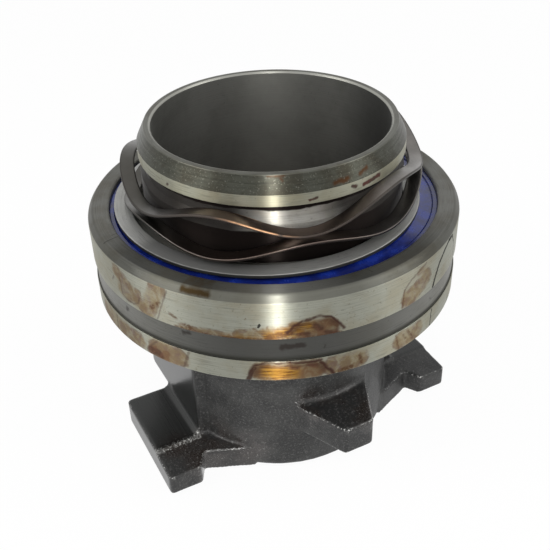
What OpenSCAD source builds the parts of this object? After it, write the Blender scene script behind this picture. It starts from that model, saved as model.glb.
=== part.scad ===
// Clutch release bearing of the pull type.
// Z is the bearing's axis, from the gearbox side at the base (z = 0) to the nose.
// X runs through the two fork lugs, and the front lug points along -Y.

/* [Sleeve] */
// Inside radius of the guide bushes
guide_r = 34; // [30:0.5:36]
// Wall of a guide bush
bush_wall = 2.5; // [1.5:0.25:3]
// Length of a guide bush
bush_h = 18; // [12:1:28]
// Distance of a guide bush from the sleeve's end
bush_inset = 1.5; // [0.5:0.5:4]
// Outside radius of the round body
body_r = 45; // [44:0.2:47]
// Height from the base to the underside of the outer ring
body_h = 66.2; // [62:0.2:80]
// Width of the bevel round the base
base_bevel_w = 1.6; // [0.6:0.2:3]
// Height of the bevel round the base
base_bevel_h = 2; // [0.6:0.2:4]
// Thickness of the flange
flange_t = 5; // [4:0.2:6]
// Fillet under the flange
flange_fillet = 3; // [1:0.5:4]
// Bevel at the two mouths of the bore
bore_bevel = 1; // [0.5:0.25:1.5]

/* [Fork lugs] */
// Distance of a fork flat from the axis
flat_x = 45.2; // [43:0.2:46]
// Distance of a lug's end face from the axis
lug_x = 64.2; // [58:0.2:70]
// Height of a lug's underside over the base
lug_z = 1; // [0.4:0.2:2]
// Height of the milled pad over the base
pad_z = 11.7; // [10:0.1:14]
// Rear end of the pad
pad_back = 14.2; // [10:0.2:18]
// Front end of the pad
pad_front = 18.2; // [16:0.2:22]
// Fillet between the pad and the fork flat
pad_fillet = 3; // [1:0.5:5]
// Run of the slope in front of the pad
step_run = 1.2; // [0.5:0.1:2.5]
// Drop of the slope in front of the pad
step_drop = 1; // [0.5:0.1:2.5]
// Front end of the cast tip
tip_front = 33.4; // [30:0.2:38]
// Fall of the cast tip's top towards its front
tip_fall = 0.6; // [0:0.1:2]
// Height of the bevel under the cast tip's front edge
tip_heel = 0.8; // [0.4:0.2:3]
// Distance of the tip's inner edge from the axis, at the front
tip_x = 51.4; // [49:0.2:56]
// Distance of the tip's inner edge from the axis, at its root
root_x = 47.4; // [46.6:0.2:49]
// How far forward the root of the tip lies
root_y = 26.6; // [25:0.2:30]
// Where the web behind the tip runs into the round body
web_x = 29; // [22:0.5:32]
// How far the web's foot stands out past its top
web_draft = 0.8; // [0.2:0.2:3]
// Corner radius of the castings in plan
cast_corner = 2; // [0.5:0.25:3]

/* [Squared body] */
// How far back the squared part of the body reaches
rear_y = 39; // [30:0.5:42]
// Gap between the squared part and the outer ring
rear_gap = 4.2; // [2:0.2:8]
// Corner radius at the rear of the squared part
rear_corner = 8; // [4:0.5:10]
// Corner radius at the front of the squared part
cheek_corner = 1.6; // [0.5:0.1:2]

/* [Front lug] */
// Distance of the lug's tip from the axis
front_reach = 63.8; // [58:0.2:68]
// Half width of the lug at its tip
front_tip_w = 5.8; // [4:0.2:8]
// Half width of the lug where it meets the body
front_root_w = 16; // [12:0.2:18]
// Height of the lug's top over the base
front_z = 33.2; // [28:0.2:40]
// Thickness of the lug
front_t = 12; // [9:0.1:15]
// Fillet between the lug's top and the body
front_fillet = 2.4; // [1:0.2:4]
// Direction of the lug, as a turn away from -Y
front_turn = 0; // [-5:0.2:5]

/* [Outer ring] */
// Outside diameter of the outer ring
ring_d = 137; // [126:0.5:150]
// Wall of the outer ring round the flange
ring_wall = 5.7; // [4.5:0.1:6.2]
// Height of the outer ring
ring_h = 33.8; // [33:0.2:36]
// Width of the bevel at the top edge
ring_bevel_w = 1.7; // [0.5:0.1:2.5]
// Height of the bevel at the top edge
ring_bevel_h = 2.3; // [0.5:0.1:3]
// Bevel at the bottom edge
ring_foot_bevel = 0.5; // [0.2:0.1:1]
// Distance of the recess from the ring's top
recess_top = 16.4; // [14:0.2:18]
// Width of the recess between the two lands
recess_w = 9.1; // [7:0.1:10]
// Depth of the recess
recess_depth = 0.6; // [0.3:0.1:1]
// Height of the retaining ring over the outer ring's underside
clip_inset = 2; // [1.5:0.1:2.5]
// Thickness of the retaining ring
clip_t = 2; // [1.5:0.1:2.2]
// How far the retaining ring reaches under the flange
clip_bite = 4.6; // [3:0.2:8]
// How deep the retaining ring sits in its groove
clip_seat = 2; // [1.5:0.1:2.5]
// Gap in the retaining ring, in degrees
clip_gap = 16; // [8:1:30]

/* [Ball bearing] */
// Distance of the balls' circle from the outside of the outer ring
pitch_inset = 12; // [11.7:0.1:12.3]
// Diameter of a ball
ball_d = 12.7; // [12:0.1:13]
// Number of balls
ball_count = 20; // [16:1:22]
// Depth of the balls' centres under the outer ring's top
ball_depth = 13; // [12.8:0.1:13.4]
// How far the ring shoulders stand from the pitch circle
shoulder_gap = 3.2; // [2.8:0.1:3.6]
// Half thickness of the cage wall
cage_half = 2.2; // [1.6:0.1:2.4]
// Height of the cage over the balls' centres
cage_up = 8.3; // [7.8:0.1:8.6]
// Depth of the cage below the balls' centres
cage_down = 2.4; // [1.6:0.1:3]

/* [Seals] */
// Wall of the outer ring round a seal
seal_wall = 7.9; // [7.3:0.1:8.3]
// Thickness of a seal at its rim
seal_t = 2.1; // [1.8:0.1:2.2]
// Depth of the upper seal under the outer ring's top
seal_inset = 1.7; // [1.5:0.1:1.9]
// Width of a seal's thick rim
seal_rim = 1.6; // [1:0.1:2.2]
// Depth of the dish between a seal's rim and its lip
seal_dish = 0.5; // [0.2:0.1:0.8]

/* [Nose] */
// Width of the inner ring's shoulder round the nose
shoulder_w = 5.8; // [5:0.1:6.5]
// Wall of the nose below its groove
nose_wall = 5.1; // [4.5:0.1:6.5]
// Height of the nose over the outer ring's top
nose_h = 29.7; // [27:0.1:34]
// Width of the rim at the nose's top
rim_w = 2.5; // [1.4:0.1:3]
// Rounding of the rim's inside edge
rim_bevel = 0.6; // [0.3:0.1:1]
// Height of the cone under the rim
cone_h = 5.8; // [4:0.1:7]
// How far the bright band stands out past the nose
band_step = 0.3; // [0:0.1:0.8]
// Height of the bright band
band_h = 4.2; // [3:0.1:5]
// Depth of the groove under the band
neck_depth = 1.6; // [1:0.1:2.5]
// Height of the groove
neck_h = 6.4; // [4:0.1:7]
// Depth of the inner ring's shoulder under the outer ring's top
shoulder_depth = 1.3; // [1.2:0.1:1.4]
// Bevel on the inner ring's edges
inner_bevel = 0.8; // [0.4:0.1:1.2]

/* [Washer and spring] */
// Gap between the thrust washer and the nose when both are in line
washer_play = 2.7; // [2.5:0.1:3.5]
// Width of the thrust washer
washer_w = 6.2; // [5:0.1:7]
// Thickness of the thrust washer
washer_t = 1.4; // [1:0.1:2]
// How far the washer lies off the axis
washer_shift = 2.4; // [0:0.1:2.4]
// Direction in which the washer lies off the axis
washer_turn = 153; // [0:1:359]
// Gap between the wave spring and the nose when both are in line
wave_play = 1.8; // [1.6:0.1:3]
// Width of the spring's flat wire
wave_w = 5.2; // [4:0.1:5.4]
// Thickness of the spring's flat wire
wave_t = 1; // [0.6:0.1:1.2]
// Height of a wave over and under its middle
wave_a = 2.4; // [2:0.1:4]
// Growth of that height in each turn of the free spring
wave_grow = 1; // [0:0.1:1.2]
// Rise of the wire in one turn
wave_rise = 9.4; // [9:0.1:12]
// Waves in one turn, one half more than a whole number
waves = 4.5; // [3.5:1:5.5]
// Turns of the spring
wave_turns = 1.9; // [1.5:0.05:3]
// Direction of a trough in the first turn
wave_trough = -139; // [-180:1:180]
// Degrees by which the waves crowd together round that trough
wave_crowd = 9; // [0:0.5:12]
// Direction in which the wire starts
wave_start = -239; // [-300:1:-200]
// How far the spring lies off the axis
wave_shift = 0.6; // [0:0.1:1.6]
// Direction in which the spring lies off the axis
wave_turn = 90; // [0:1:359]

/* [Clearances] */
// Gap between a ball and its raceways
race_gap = 0.08; // [0.04:0.01:0.15]
// Gap between a ball and its pocket
pocket_gap = 0.2; // [0.1:0.05:0.3]
// Gap under a seal's lip
lip_gap = 0.15; // [0.1:0.05:0.3]
// Gap round a part that is pressed or seated in another
seat_gap = 0.03; // [0.01:0.01:0.05]
// Sideways play of the flange in the outer ring
flange_float = 0.8; // [0.4:0.1:1]
// Height that the disc spring fills
disc_h = 2.1; // [1.8:0.1:2.4]
// Thickness of the disc spring
disc_t = 0.9; // [0.6:0.1:1.2]
// Width of the disc spring
disc_w = 6.4; // [5:0.1:7.5]
// Gap between the spring's lowest trough and the washer
rest_gap = 0.1; // [0.05:0.05:0.3]

/* [Hidden] */
$fn = 96;
eps = 0.01;
wave_step = 5;
arc_steps = 6;
bore_r = guide_r + bush_wall + seat_gap;
ring_r = ring_d / 2;
ring_top = body_h + ring_h;
clip_z = body_h + clip_inset;
flange_z = clip_z + clip_t + seat_gap;
sleeve_top = flange_z + flange_t;
seat_z = sleeve_top + disc_h + seat_gap;
lower_bore_r = ring_r - ring_wall;
groove_r = lower_bore_r + clip_seat;
flange_r = lower_bore_r - flange_float;
clip_in_r = flange_r - clip_bite;
pitch_r = ring_r - pitch_inset;
ball_r = ball_d / 2;
ball_z = ring_top - ball_depth;
race_r = ball_r + race_gap;
inner_shoulder_r = pitch_r - shoulder_gap;
outer_shoulder_r = pitch_r + shoulder_gap;
seal_r = ring_r - seal_wall;
nose_r = inner_shoulder_r - shoulder_w;
nose_in_r = nose_r - nose_wall;
rim_r = nose_in_r + rim_w;
band_r = nose_r + band_step;
neck_r = nose_r - neck_depth;
washer_in_r = nose_r + washer_play;
wave_in_r = nose_r + wave_play;
wave_r = wave_in_r + wave_w;
upper_seal_z = ring_top - seal_inset - seal_t;
lower_seal_z = seat_z + seat_gap;
shoulder_z = ring_top - shoulder_depth;
nose_top = ring_top + nose_h;
band_top = nose_top - cone_h;
band_low = band_top - band_h;
neck_low = band_low - neck_h;
washer_top = shoulder_z + washer_t;
far = 200;

function ball_name(i) = str("ball_", i < 10 ? "0" : "", i);

// Corner p of a polygon between a and b, rounded with radius r
function corner(a, p, b, r) =
    let (u = (a - p) / norm(a - p), v = (b - p) / norm(b - p),
         half = acos(u * v) / 2,
         middle = p + (u + v) / norm(u + v) * r / sin(half),
         from = p + u * r / tan(half) - middle,
         to = p + v * r / tan(half) - middle,
         swing = atan2(from.x * to.y - from.y * to.x, from * to))
    [for (k = [0 : arc_steps])
        let (t = swing * k / arc_steps)
        middle + [from.x * cos(t) - from.y * sin(t), from.x * sin(t) + from.y * cos(t)]];

// Polygon from [point, radius] pairs
function rounded(pairs) =
    [for (k = [0 : len(pairs) - 1])
        let (n = len(pairs), p = pairs[k])
        each p[1] == 0 ? [p[0]]
            : corner(pairs[(k + n - 1) % n][0], p[0], pairs[(k + 1) % n][0], p[1])];

// Flat ring between two radii
module band(in_r, out_r, z, h) {
    rotate_extrude()
        translate([in_r, z])
            square([out_r - in_r, h]);
}

// Turned stock of the sleeve: round body, fillet and flange
module sleeve_turned() {
    rotate_extrude()
        difference() {
            union() {
                polygon([[bore_r - 1, 0], [body_r - base_bevel_w, 0], [body_r, base_bevel_h],
                         [body_r, sleeve_top], [bore_r - 1, sleeve_top]]);
                translate([bore_r, flange_z])
                    square([flange_r - bore_r, flange_t]);
                translate([body_r - eps, flange_z - flange_fillet])
                    square(flange_fillet + eps);
            }
            translate([body_r + flange_fillet, flange_z - flange_fillet])
                circle(flange_fillet);
        }
}

// Squared part of the body, between the two fork flats
module squared_body() {
    translate([0, 0, pad_z])
        linear_extrude(body_h - rear_gap - pad_z)
            polygon(rounded([
                [[-flat_x, -pad_front], cheek_corner], [[flat_x, -pad_front], cheek_corner],
                [[flat_x, rear_y], rear_corner], [[-flat_x, rear_y], rear_corner]]));
}

// Pad and cast tip of the lug on the +X side: the plan cut to the side outline
module pad_and_tip() {
    tip_z = pad_z - step_drop;
    intersection() {
        translate([0, 0, lug_z])
            linear_extrude(pad_z)
                polygon(rounded([
                    [[bore_r + 1, -root_y], 0], [[root_x, -root_y], 0],
                    [[tip_x, -tip_front], cast_corner], [[lug_x, -tip_front], cast_corner],
                    [[lug_x, pad_back], cast_corner], [[bore_r + 1, pad_back], 0]]));
        rotate([90, 0, 90])
            linear_extrude(far)
                polygon(rounded([
                    [[pad_back, lug_z], 0], [[pad_back, pad_z], 0], [[-pad_front, pad_z], 0],
                    [[-pad_front - step_run, tip_z], 0],
                    [[-tip_front, tip_z - tip_fall], cast_corner / 2],
                    [[-tip_front, lug_z + tip_heel], 0], [[tip_heel - tip_front, lug_z], 0]]));
    }
}

// Sloping web between the tip and the round body, on the +X side
module web() {
    web_z = pad_z - step_drop - tip_fall / 2;
    web_y = sqrt(pow(body_r, 2) - pow(web_x, 2));
    turn = atan2(web_y - root_y, root_x - web_x);
    lean = atan2(web_draft, web_z - lug_z);
    difference() {
        translate([0, 0, lug_z])
            linear_extrude(web_z - lug_z)
                polygon([[tip_x, -root_y - web_draft], [web_x, -web_y - web_draft],
                         [web_x, -bore_r / 2], [tip_x, -root_y / 2]]);
        translate([root_x, -root_y, web_z])
            rotate([0, 0, turn])
                rotate([-lean, 0, 0])
                    translate([-far / 2, -far, -far / 2])
                        cube(far);
    }
}

// Concave fillet between the pad and the fork flat, on the +X side
module pad_corner() {
    translate([flat_x, pad_back, pad_z])
        rotate([90, 0, 0])
            linear_extrude(pad_back + pad_front)
                difference() {
                    translate([-eps, -eps])
                        square(pad_fillet + eps);
                    translate([pad_fillet, pad_fillet])
                        circle(pad_fillet);
                }
}

// Room that the milling cutter cleared for a fork arm, on the +X side
module fork_room() {
    translate([flat_x, -pad_front, pad_z])
        cube([far, pad_front + far, flange_z - flange_fillet - pad_z - eps]);
}

// Tapered lug on the front, with the fillet on its top
module front_lug() {
    root = sqrt(pow(body_r, 2) - pow(front_root_w, 2));
    outline = rounded([
        [[-front_root_w, -root], 0], [[-front_tip_w, -front_reach], cast_corner],
        [[front_tip_w, -front_reach], cast_corner], [[front_root_w, -root], 0],
        [[front_root_w, -bore_r / 2], 0], [[-front_root_w, -bore_r / 2], 0]]);
    rotate([0, 0, front_turn]) {
        translate([0, 0, front_z - front_t])
            linear_extrude(front_t)
                polygon(outline);
        intersection() {
            translate([0, 0, front_z - eps])
                linear_extrude(front_fillet)
                    polygon(outline);
            rotate_extrude()
                difference() {
                    translate([bore_r, front_z - eps])
                        square([body_r - bore_r + front_fillet, front_fillet]);
                    translate([body_r + front_fillet, front_z + front_fillet])
                        circle(front_fillet);
                }
        }
    }
}

// Through bore of the sleeve, bevelled at both mouths
module sleeve_bore() {
    mouth_r = bore_r + bore_bevel;
    rotate_extrude()
        polygon([[0, -1], [mouth_r, -1], [mouth_r, 0], [bore_r, bore_bevel],
                 [bore_r, sleeve_top - bore_bevel], [mouth_r, sleeve_top],
                 [mouth_r, sleeve_top + 1], [0, sleeve_top + 1]]);
}

module sleeve() {
    color("dimgray")
        difference() {
            union() {
                difference() {
                    union() {
                        sleeve_turned();
                        squared_body();
                    }
                    for (side = [0, 1])
                        mirror([side, 0, 0])
                            fork_room();
                }
                for (side = [0, 1])
                    mirror([side, 0, 0]) {
                        pad_and_tip();
                        web();
                        pad_corner();
                    }
                front_lug();
            }
            sleeve_bore();
        }
}

module guide_bush(z) {
    color("tan")
        band(guide_r, guide_r + bush_wall, z, bush_h);
}

module lower_guide_bush() {
    guide_bush(bush_inset);
}

module upper_guide_bush() {
    guide_bush(sleeve_top - bush_inset - bush_h);
}

// Stock of the outer ring with its lands, bores and seal seats
module outer_profile() {
    recess_high = ring_top - recess_top;
    recess_low = recess_high - recess_w;
    polygon([
        [lower_bore_r, body_h], [ring_r - ring_foot_bevel, body_h], [ring_r, body_h + ring_foot_bevel],
        [ring_r, recess_low], [ring_r - recess_depth, recess_low],
        [ring_r - recess_depth, recess_high], [ring_r, recess_high],
        [ring_r, ring_top - ring_bevel_h], [ring_r - ring_bevel_w, ring_top],
        [seal_r, ring_top], [seal_r, upper_seal_z],
        [outer_shoulder_r, upper_seal_z], [outer_shoulder_r, lower_seal_z + seal_t],
        [seal_r, lower_seal_z + seal_t], [seal_r, seat_z],
        [lower_bore_r, seat_z]]);
}

module outer_ring() {
    color("lightgray")
        rotate_extrude()
            difference() {
                outer_profile();
                translate([pitch_r, ball_z])
                    circle(race_r);
                translate([lower_bore_r - 1, clip_z - seat_gap])
                    square([groove_r - lower_bore_r + 1, clip_t + 2 * seat_gap]);
            }
}

// Outline of the inner ring: bearing part below, nose above
module inner_profile() {
    polygon([
        [nose_in_r, seat_z], [inner_shoulder_r - inner_bevel, seat_z],
        [inner_shoulder_r, seat_z + inner_bevel], [inner_shoulder_r, shoulder_z],
        [nose_r, shoulder_z], [nose_r, neck_low], [neck_r, neck_low + nose_r - neck_r],
        [neck_r, band_low], [band_r, band_low], [band_r, band_top],
        [rim_r, nose_top], [nose_in_r + rim_bevel, nose_top], [nose_in_r, nose_top - rim_bevel]]);
}

module inner_ring() {
    color("darkgray")
        rotate_extrude()
            difference() {
                inner_profile();
                translate([pitch_r, ball_z])
                    circle(race_r);
            }
}

module ball(i) {
    color("silver")
        rotate([0, 0, 360 * (i - 1) / ball_count])
            translate([pitch_r, 0, ball_z])
                sphere(ball_r);
}

// Snap cage: a wall on the pitch circle with a round pocket for each ball
module ball_cage() {
    color("ivory")
        difference() {
            band(pitch_r - cage_half, pitch_r + cage_half, ball_z - cage_down, cage_down + cage_up);
            for (i = [1 : ball_count])
                rotate([0, 0, 360 * (i - 1) / ball_count])
                    translate([pitch_r, 0, ball_z])
                        sphere(ball_r + pocket_gap);
        }
}

// Seal with a thick rim in the outer ring, a dished web and a lip on the inner ring, dish upwards
module seal() {
    rim_in = seal_r - seat_gap - seal_rim;
    lip_r = inner_shoulder_r + lip_gap;
    rotate_extrude()
        polygon([
            [lip_r, 0], [seal_r - seat_gap, 0], [seal_r - seat_gap, seal_t], [rim_in, seal_t],
            [rim_in - seal_dish, seal_t - seal_dish], [lip_r + seal_rim, seal_t - seal_dish],
            [lip_r, seal_t]]);
}

module upper_seal() {
    color("royalblue")
        translate([0, 0, upper_seal_z + seat_gap])
            seal();
}

module lower_seal() {
    color("royalblue")
        translate([0, 0, lower_seal_z + seal_t - seat_gap])
            mirror([0, 0, 1])
                seal();
}

// Conical washer: its inner edge stands on the flange, its outer edge under the outer ring's seat
module disc_spring() {
    disc_r = lower_bore_r - seat_gap;
    disc_in_r = disc_r - disc_w;
    low = sleeve_top + seat_gap;
    high = seat_z - seat_gap;
    color("slategray")
        rotate_extrude()
            polygon([[disc_in_r, low], [disc_r, high - disc_t], [disc_r, high], [disc_in_r, low + disc_t]]);
}

// Open ring in the outer ring's groove, under the flange
module retaining_ring() {
    color("dimgray")
        rotate([0, 0, 90 + clip_gap / 2])
            rotate_extrude(angle = 360 - clip_gap)
                translate([clip_in_r, clip_z])
                    square([groove_r - seat_gap - clip_in_r, clip_t]);
}

module thrust_washer() {
    color("gray")
        translate(washer_shift * [cos(washer_turn), sin(washer_turn), 0])
            band(washer_in_r, washer_in_r + washer_w, shoulder_z, washer_t);
}

// Height of the spring's wire at a direction, counted on over all turns from the start
function wave_z(a) =
    let (turn = (a - wave_start) / 360,
         bend = a - wave_trough + wave_crowd * sin(a - wave_trough))
    wave_rise * turn - (wave_a + wave_grow * turn) * cos(waves * bend);

// Wave spring: a flat wire swept round the nose, its lowest trough resting on the washer
module wave_spring() {
    count = ceil(360 * wave_turns / wave_step);
    angles = [for (k = [0 : count]) wave_start + 360 * wave_turns * k / count];
    lift = washer_top + rest_gap - min([for (a = angles) wave_z(a)]);
    section = [[wave_in_r, 0], [wave_r, 0], [wave_r, wave_t], [wave_in_r, wave_t]];
    points = [for (a = angles, c = section) [c.x * cos(a), c.x * sin(a), lift + wave_z(a) + c.y]];
    sides = [for (k = [0 : count - 1], j = [0 : 3])
        let (p = 4 * k + j, q = 4 * k + (j + 1) % 4)
        each [[p, p + 4, q + 4], [p, q + 4, q]]];
    ends = [[0, 1, 2, 3], [for (j = [3 : -1 : 0]) 4 * count + j]];
    color("saddlebrown")
        translate(wave_shift * [cos(wave_turn), sin(wave_turn), 0])
            polyhedron(points, concat(ends, sides));
}

sleeve();
lower_guide_bush();
upper_guide_bush();
outer_ring();
inner_ring();
ball_cage();
upper_seal();
lower_seal();
disc_spring();
retaining_ring();
thrust_washer();
wave_spring();
for (i = [1 : ball_count])
    ball(i);
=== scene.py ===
"""Looks of a used clutch release bearing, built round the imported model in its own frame, in metres."""
import math

import bpy
import numpy as np
from mathutils import Matrix, Vector, noise


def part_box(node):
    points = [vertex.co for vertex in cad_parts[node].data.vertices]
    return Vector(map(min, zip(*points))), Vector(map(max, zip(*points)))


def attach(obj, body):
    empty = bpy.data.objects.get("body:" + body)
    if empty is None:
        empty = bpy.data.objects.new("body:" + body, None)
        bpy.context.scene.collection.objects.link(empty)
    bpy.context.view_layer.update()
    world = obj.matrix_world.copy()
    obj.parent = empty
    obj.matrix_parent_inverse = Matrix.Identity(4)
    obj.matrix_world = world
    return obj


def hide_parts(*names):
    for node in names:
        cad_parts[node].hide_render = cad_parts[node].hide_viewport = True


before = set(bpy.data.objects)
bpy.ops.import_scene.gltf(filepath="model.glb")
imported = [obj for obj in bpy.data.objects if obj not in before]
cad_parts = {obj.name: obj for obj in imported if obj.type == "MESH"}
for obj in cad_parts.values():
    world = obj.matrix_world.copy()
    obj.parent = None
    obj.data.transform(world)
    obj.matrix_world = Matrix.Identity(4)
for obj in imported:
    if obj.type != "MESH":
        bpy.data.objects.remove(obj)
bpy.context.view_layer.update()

MM = 0.001

# Viewpoint of the photograph, in a frame whose Y axis points straight away from the camera
VIEW_TURN = math.radians(26.9)
CAMERA_PLACE = Vector((-0.99, -270.41, 247.25)) * MM
CAMERA_TILT = math.radians(34.485)
CAMERA_ROLL = math.radians(-1.85)
CAMERA_LENS = 53.76
CAMERA_SHIFT = (0.0036, -0.0005)

# Heights and radii that divide one finish of the outer ring from the next
RING_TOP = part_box("outer_ring")[1].z
RING_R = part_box("outer_ring")[1].x
LAND_R = RING_R - 1.0 * MM
LAND_HIGH = RING_TOP - 2.2 * MM
RECESS_LOW = RING_TOP - 25.5 * MM
RECESS_HIGH = RING_TOP - 16.4 * MM
BEVEL_LOW = RING_TOP - 2.4 * MM
SEAL_SEAT_R = 60.6 * MM

# The same for the inner ring and its nose
NOSE_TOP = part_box("inner_ring")[1].z
NOSE_R = 47.8 * MM
RIM_LOW = NOSE_TOP - 0.3 * MM
BAND_TOP = NOSE_TOP - 5.8 * MM
BAND_LOW = BAND_TOP - 4.2 * MM
BAND_R = 46.5 * MM
DARK_BELOW = BAND_LOW - 8.6 * MM
SHOULDER_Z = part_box("thrust_washer")[0].z
BORE_R = 42.4 * MM
BORE_HIGH = NOSE_TOP - 0.7 * MM
RIM_R = BORE_R + 0.8 * MM

# Milled places of the sleeve
LUG_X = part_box("sleeve")[1].x
FLAT_X = 45.2 * MM
PAD_Z = 11.7 * MM
PAD_FILLET = 3.2 * MM
STEP_Y = 18.9 * MM
STEP_RUN = 1.8 * MM
SLEEVE_BORE_R = 38 * MM
FLANGE_Z = 66 * MM
FLANGE_R = 46 * MM
MILLED_DEPTH = 0.35 * MM
FACING = 0.9

# Turned meshes: steps, rounding, and what a corner takes of its sides
TURN_STEPS = 288
EDGE_ROUND = 0.35 * MM
BEVEL_ROUND = 2.4 * MM
BEVEL_SIZE = 3.0 * MM
CORNER_TURN = math.radians(25)
CORNER_STEPS = 4
CORNER_SHARE = 0.3
GUARD = 1.4
SAME_PLACE = 1e-6
SLACK = 0.1 * MM

# The casting's mesh: how far it is rounded, thinned and made uneven
SLEEVE_VOXEL = 0.62 * MM
SLEEVE_SMOOTHING = 3
SLEEVE_KEEP = 0.34
CAST_SWELL = 0.12 * MM
CAST_SWELL_SIZE = 7 * MM
EDGE_GAIN = 3

# The wave spring's wire, as in the solid model
WAVE_R = 54.5 * MM
WAVE_W = 5.2 * MM
WAVE_T = 1.0 * MM
WAVE_A = 2.4 * MM
WAVE_GROW = 1.0 * MM
WAVE_RISE = 9.4 * MM
WAVES = 4.5
WAVE_TURNS = 1.9
WAVE_TROUGH = -139
WAVE_CROWD = 9
WAVE_START = -239
WAVE_SHIFT = Vector((0, 0.6, 0)) * MM
WAVE_STEP = 1.0
WAVE_EDGE = 0.28 * MM
WAVE_EDGE_STEPS = 3
WAVE_GUARD = 2.2


# Meshes

def add_piece(name, mesh, body, materials, stands_for):
    """A finished mesh as a piece that rides on a body and stands for one CAD node."""
    piece = bpy.data.objects.new(name, mesh)
    bpy.context.scene.collection.objects.link(piece)
    for material in materials:
        mesh.materials.append(material)
    mesh.polygons.foreach_set("use_smooth", [True] * len(mesh.polygons))
    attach(piece, body)
    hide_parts(stands_for)
    return piece


def add_share(mesh, name, values):
    """Keeps a share from 0 to 1 for each point of a mesh, for its material to read."""
    mesh.attributes.new(name, "FLOAT", "POINT").data.foreach_set("value", values)


def seam_outline(node):
    """Outline of a turned CAD node in its half plane, as (radius, height) points in order, and its axis."""
    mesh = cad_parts[node].data
    low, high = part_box(node)
    axis = (low + high) / 2
    points = {}
    for v in mesh.vertices:
        if abs(v.co.y - axis.y) < SAME_PLACE and v.co.x > axis.x:
            points[v.index] = (round(v.co.x - axis.x, 6), round(v.co.z, 6))
    links = {p: set() for p in points.values()}
    for edge in mesh.edges:
        a, b = (points.get(i) for i in edge.vertices)
        if a and b and a != b:
            links[a].add(b)
            links[b].add(a)
    loose = [p for p in links if len(links[p]) < 2]
    for p in loose:
        level = [q for q in loose if q != p and q[1] == p[1]]
        links[p].add(min(level, key=lambda q: abs(q[0] - p[0])))
    start = max(links)
    outline = [start, min(links[start], key=lambda q: q[1])]
    while True:
        following = [q for q in links[outline[-1]] if q != outline[-2]]
        if following[0] == start:
            break
        outline.append(following[0])
    return [Vector(p) for p in outline], axis


def soften(outline, radius_at):
    """The closed outline with its corners rounded, and a point on each side that keeps the flats flat."""
    result = []
    for k, here in enumerate(outline):
        back = outline[k - 1] - here
        ahead = outline[(k + 1) % len(outline)] - here
        turn = math.pi - back.angle(ahead)
        if turn < CORNER_TURN:
            result.append(here)
            continue
        most = CORNER_SHARE * min(back.length, ahead.length)
        cut = min(radius_at(here) * math.tan(turn / 2), most)
        a = here + back.normalized() * cut
        b = here + ahead.normalized() * cut
        result.append(here + back.normalized() * cut * GUARD)
        for step in range(CORNER_STEPS + 1):
            t = step / CORNER_STEPS
            result.append(a * (1 - t) ** 2 + here * 2 * t * (1 - t) + b * t ** 2)
        result.append(here + ahead.normalized() * cut * GUARD)
    return result


def edge_radius(corner):
    """Radius of a turned edge: rounder from wear on the outer ring's bevel and on its edge beside the seal.
    """
    on_bevel = corner.x > RING_R - BEVEL_SIZE and abs(corner.y - RING_TOP) < BEVEL_SIZE
    by_seal = abs(corner.x - SEAL_SEAT_R) < SLACK and abs(corner.y - RING_TOP) < SLACK
    return BEVEL_ROUND if on_bevel or by_seal else EDGE_ROUND


def turned_mesh(name, node, finish_at):
    """Mesh of a turned CAD node with rounded edges; finish_at gives a face's material number by its place."""
    corners, axis = seam_outline(node)
    outline = soften(corners, edge_radius)
    count = len(outline)
    angles = [2 * math.pi * k / TURN_STEPS for k in range(TURN_STEPS)]
    points = [(axis.x + p.x * math.cos(a), axis.y + p.x * math.sin(a), p.y) for a in angles for p in outline]
    faces = []
    numbers = []
    for k in range(TURN_STEPS):
        here = k * count
        there = (k + 1) % TURN_STEPS * count
        for j in range(count):
            i = (j + 1) % count
            faces.append((here + j, there + j, there + i, here + i))
            middle = (outline[j] + outline[i]) / 2
            numbers.append(finish_at(middle.x, middle.y))
    mesh = bpy.data.meshes.new(name)
    mesh.from_pydata(points, [], faces)
    mesh.polygons.foreach_set("material_index", numbers)
    area = sum(outline[k - 1].x * outline[k].y - outline[k].x * outline[k - 1].y for k in range(count))
    if area < 0:
        mesh.flip_normals()
    return mesh


def wave_height(angle):
    """Height of the spring's wire at a direction in degrees, counted on over all turns."""
    turn = (angle - WAVE_START) / 360
    ahead = math.radians(angle - WAVE_TROUGH)
    bend = ahead + math.radians(WAVE_CROWD) * math.sin(ahead)
    return WAVE_RISE * turn - (WAVE_A + WAVE_GROW * turn) * math.cos(WAVES * bend)


def wire_section():
    """Section of the flat wire with rounded edges, as (outwards, up) points from its inner lower corner."""
    section = []
    for out, up, start in ((0, 0, 180), (WAVE_W, 0, 270), (WAVE_W, WAVE_T, 0), (0, WAVE_T, 90)):
        centre = (abs(out - WAVE_EDGE), abs(up - WAVE_EDGE))
        inside = (abs(out - WAVE_GUARD * WAVE_EDGE), up)
        if start in (270, 90):
            section.append(inside)
        for k in range(WAVE_EDGE_STEPS + 1):
            a = math.radians(start + 90 * k / WAVE_EDGE_STEPS)
            section.append((centre[0] + WAVE_EDGE * math.cos(a), centre[1] + WAVE_EDGE * math.sin(a)))
        if start in (180, 0):
            section.append(inside)
    return section


def wire_wear(section, count):
    """Share of bare metal at each point of the wire: on its upper edges, more towards its upper end."""
    on_edge = [min(out, WAVE_W - out) < WAVE_EDGE * 1.01 and up > WAVE_T / 2 for out, up in section]
    along = [min(1.0, max(0.3, 1.8 * k / count - 0.3)) for k in range(count + 1)]
    return [share * bare for share in along for bare in on_edge]


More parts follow.
